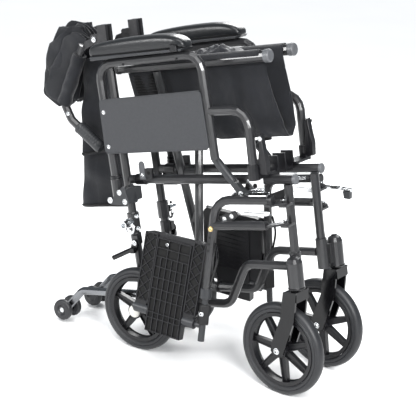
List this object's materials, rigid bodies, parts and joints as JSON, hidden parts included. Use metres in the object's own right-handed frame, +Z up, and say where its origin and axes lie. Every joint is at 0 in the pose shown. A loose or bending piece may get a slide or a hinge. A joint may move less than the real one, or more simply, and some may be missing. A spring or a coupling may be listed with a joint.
{
  "type": "folding wheelchair",
  "caption": "Folding tube-frame wheelchair on small wheels, folded, with swing-back footrests, flip-back armrests, folded back and anti-tippers.",
  "frame": {"origin": "centre of the bounding box on the floor", "axes": "+X to the front of the chair, +Y to its left side, +Z up from the floor; the chair stands folded and leaning back 11.25 degrees on its small rear wheels"},
  "size_m": [0.8009, 0.3116, 0.717],
  "materials": {
    "frame_paint": "satin",
    "brace_paint": "satin",
    "black_paint": "gloss",
    "chrome": "polished",
    "grey_tyre": "matt",
    "grey_plastic": "satin",
    "black_plastic": "satin",
    "panel_plastic": "fine grain",
    "arm_vinyl": "smooth vinyl",
    "nylon_fabric": "woven nylon"
  },
  "bodies": {
    "right_frame": {"top_rail_r": "frame_paint", "lower_rail_r": "frame_paint", "rear_post_r": "frame_paint", "front_post_r": "frame_paint", "axle_receiver_r": "chrome", "saddle_bracket_r": "black_plastic", "wheel_lock_base_r": "chrome", "arm_bracket_r": "grey_plastic", "back_pocket": "nylon_fabric"},
    "brace_pair_a": {"brace_r": "brace_paint", "seat_rail_l": "frame_paint", "seat_fabric_l": "nylon_fabric"},
    "brace_pair_b": {"brace_l": "brace_paint", "seat_rail_r": "frame_paint", "seat_fabric_r": "nylon_fabric"},
    "left_frame": {"top_rail_l": "frame_paint", "lower_rail_l": "frame_paint", "rear_post_l": "frame_paint", "front_post_l": "frame_paint", "axle_receiver_l": "chrome", "saddle_bracket_l": "black_plastic", "wheel_lock_base_l": "chrome", "arm_bracket_l": "grey_plastic"},
    "right_caster": {"caster_fork_r": "black_paint"},
    "right_front_wheel": {"front_tyre_r": "grey_tyre", "front_rim_r": "black_plastic"},
    "right_rear_wheel": {"rear_tyre_r": "grey_tyre", "rear_rim_r": "black_plastic"},
    "right_armrest": {"arm_frame_r": "frame_paint", "arm_pad_r": "arm_vinyl", "side_panel_r": "panel_plastic"},
    "right_arm_latch": {"arm_latch_r": "black_plastic"},
    "right_hanger": {"hanger_r": "frame_paint"},
    "right_extension": {"extension_r": "grey_plastic"},
    "right_footplate": {"footplate_r": "black_plastic"},
    "right_cane": {"back_cane_r": "frame_paint", "push_grip_r": "grey_plastic", "back_upholstery": "nylon_fabric"},
    "right_wheel_lock": {"wheel_lock_lever_r": "grey_plastic"},
    "right_rear_brake": {"rear_brake_lever_r": "black_paint"},
    "right_antitip_arm": {"antitip_arm_r": "chrome"},
    "right_antitip_wheels": {"antitip_wheels_r": "grey_tyre"},
    "left_caster": {"caster_fork_l": "black_paint"},
    "left_front_wheel": {"front_tyre_l": "grey_tyre", "front_rim_l": "black_plastic"},
    "left_rear_wheel": {"rear_tyre_l": "grey_tyre", "rear_rim_l": "black_plastic"},
    "left_armrest": {"arm_frame_l": "frame_paint", "arm_pad_l": "arm_vinyl", "side_panel_l": "panel_plastic"},
    "left_arm_latch": {"arm_latch_l": "black_plastic"},
    "left_hanger": {"hanger_l": "frame_paint"},
    "left_extension": {"extension_l": "grey_plastic"},
    "left_footplate": {"footplate_l": "black_plastic"},
    "left_cane": {"back_cane_l": "frame_paint", "push_grip_l": "grey_plastic"},
    "left_wheel_lock": {"wheel_lock_lever_l": "grey_plastic"},
    "left_rear_brake": {"rear_brake_lever_l": "black_paint"},
    "left_antitip_arm": {"antitip_arm_l": "chrome"},
    "left_antitip_wheels": {"antitip_wheels_l": "grey_tyre"}
  },
  "joints": [
    {"name": "fold", "type": "hinge", "parent": "right_frame", "child": "brace_pair_a", "pos_m": [0.07677, -0.0567, 0.13692], "axis": [-0.9808, 0, -0.1951], "range_deg": [0, 44.8]},
    {"name": "scissor_pivot", "type": "hinge", "parent": "brace_pair_a", "child": "brace_pair_b", "pos_m": [0.00182, 0, 0.40097], "axis": [0.9808, 0, 0.1951], "range_deg": [0, 89.6]},
    {"name": "left_frame_pivot", "type": "hinge", "parent": "brace_pair_b", "child": "left_frame", "pos_m": [0.03362, 0.0567, 0.12833], "axis": [-0.9808, 0, -0.1951], "range_deg": [0, 44.8]},
    {"name": "right_caster_swivel", "type": "hinge", "parent": "right_frame", "child": "right_caster", "pos_m": [0.32628, -0.0889, 0.23936], "axis": [-0.1951, 0, 0.9808], "continuous": true},
    {"name": "right_front_wheel_spin", "type": "hinge", "parent": "right_caster", "child": "right_front_wheel", "pos_m": [0.30136, -0.08267, 0.10002], "axis": [0.1174, 0.9928, 0.0234], "continuous": true},
    {"name": "right_rear_wheel_spin", "type": "hinge", "parent": "right_frame", "child": "right_rear_wheel", "pos_m": [-0.05944, -0.0815, 0.09381], "axis": [0, 1, 0], "continuous": true},
    {"name": "right_armrest_flip", "type": "hinge", "parent": "right_frame", "child": "right_armrest", "pos_m": [-0.10804, -0.107, 0.35097], "axis": [0, -1, 0], "range_deg": [0, 95]},
    {"name": "right_arm_latch_flip", "type": "hinge", "parent": "right_frame", "child": "right_arm_latch", "pos_m": [0.23617, -0.0954, 0.46838], "axis": [0, 1, 0], "range_deg": [0, 35]},
    {"name": "right_hanger_swing", "type": "hinge", "parent": "right_frame", "child": "right_hanger", "pos_m": [0.28217, -0.082, 0.38679], "axis": [-0.1951, 0, 0.9808], "range_deg": [0, 178]},
    {"name": "right_extension_slide", "type": "slide", "parent": "right_hanger", "child": "right_extension", "axis": [0.0227, -0.133, -0.9909], "range_m": [0, 0.05]},
    {"name": "right_footplate_flip", "type": "hinge", "parent": "right_extension", "child": "right_footplate", "pos_m": [0.04852, -0.14, 0.12518], "axis": [0.9999, 0, -0.0131], "range_deg": [0, 100]},
    {"name": "right_cane_fold", "type": "hinge", "parent": "right_frame", "child": "right_cane", "pos_m": [-0.22006, -0.0567, 0.6676], "axis": [0, 1, 0], "range_deg": [0, 146]},
    {"name": "right_wheel_lock_throw", "type": "hinge", "parent": "right_frame", "child": "right_wheel_lock", "pos_m": [0.18433, -0.085, 0.41117], "axis": [0, 1, 0], "range_deg": [0, 38]},
    {"name": "right_rear_brake_lift", "type": "hinge", "parent": "right_frame", "child": "right_rear_brake", "pos_m": [-0.08531, -0.075, 0.23926], "axis": [0, 1, 0], "range_deg": [0, 30]},
    {"name": "right_antitip_turn", "type": "hinge", "parent": "right_frame", "child": "right_antitip_arm", "pos_m": [-0.07602, -0.0567, 0.1157], "axis": [-0.9808, 0, -0.1951], "range_deg": [0, 180]},
    {"name": "right_antitip_wheel_spin", "type": "hinge", "parent": "right_antitip_arm", "child": "right_antitip_wheels", "pos_m": [-0.28135, -0.0567, 0.0305], "axis": [0, 1, 0], "continuous": true},
    {"name": "left_caster_swivel", "type": "hinge", "parent": "left_frame", "child": "left_caster", "pos_m": [0.32628, 0.0889, 0.23936], "axis": [0.1951, 0, -0.9808], "continuous": true},
    {"name": "left_front_wheel_spin", "type": "hinge", "parent": "left_caster", "child": "left_front_wheel", "pos_m": [0.30127, 0.09435, 0.1], "axis": [0.1028, 0.9945, 0.0204], "continuous": true},
    {"name": "left_rear_wheel_spin", "type": "hinge", "parent": "left_frame", "child": "left_rear_wheel", "pos_m": [-0.05944, 0.0815, 0.09381], "axis": [0, 1, 0], "continuous": true},
    {"name": "left_armrest_flip", "type": "hinge", "parent": "left_frame", "child": "left_armrest", "pos_m": [-0.10804, 0.107, 0.35097], "axis": [0, -1, 0], "range_deg": [0, 95]},
    {"name": "left_arm_latch_flip", "type": "hinge", "parent": "left_frame", "child": "left_arm_latch", "pos_m": [0.23617, 0.0954, 0.46838], "axis": [0, 1, 0], "range_deg": [0, 35]},
    {"name": "left_hanger_swing", "type": "hinge", "parent": "left_frame", "child": "left_hanger", "pos_m": [0.28217, 0.082, 0.38679], "axis": [0.1951, 0, -0.9808], "range_deg": [0, 178]},
    {"name": "left_extension_slide", "type": "slide", "parent": "left_hanger", "child": "left_extension", "axis": [0.0227, 0.133, -0.9909], "range_m": [0, 0.05]},
    {"name": "left_footplate_flip", "type": "hinge", "parent": "left_extension", "child": "left_footplate", "pos_m": [0.04852, 0.14, 0.12518], "axis": [-0.9999, 0, 0.0131], "range_deg": [0, 100]},
    {"name": "left_cane_fold", "type": "hinge", "parent": "left_frame", "child": "left_cane", "pos_m": [-0.22006, 0.0567, 0.6676], "axis": [0, 1, 0], "range_deg": [0, 146]},
    {"name": "left_wheel_lock_throw", "type": "hinge", "parent": "left_frame", "child": "left_wheel_lock", "pos_m": [0.18433, 0.085, 0.41117], "axis": [0, 1, 0], "range_deg": [0, 38]},
    {"name": "left_rear_brake_lift", "type": "hinge", "parent": "left_frame", "child": "left_rear_brake", "pos_m": [-0.08531, 0.075, 0.23926], "axis": [0, 1, 0], "range_deg": [0, 30]},
    {"name": "left_antitip_turn", "type": "hinge", "parent": "left_frame", "child": "left_antitip_arm", "pos_m": [-0.07602, 0.0567, 0.1157], "axis": [0.9808, 0, 0.1951], "range_deg": [0, 180]},
    {"name": "left_antitip_wheel_spin", "type": "hinge", "parent": "left_antitip_arm", "child": "left_antitip_wheels", "pos_m": [-0.28135, 0.0567, 0.0305], "axis": [0, 1, 0], "continuous": true}
  ],
  "couplings": [
    {"joint": "scissor_pivot", "follows": "fold", "ratio": 2},
    {"joint": "left_frame_pivot", "follows": "fold", "ratio": 1}
  ]
}
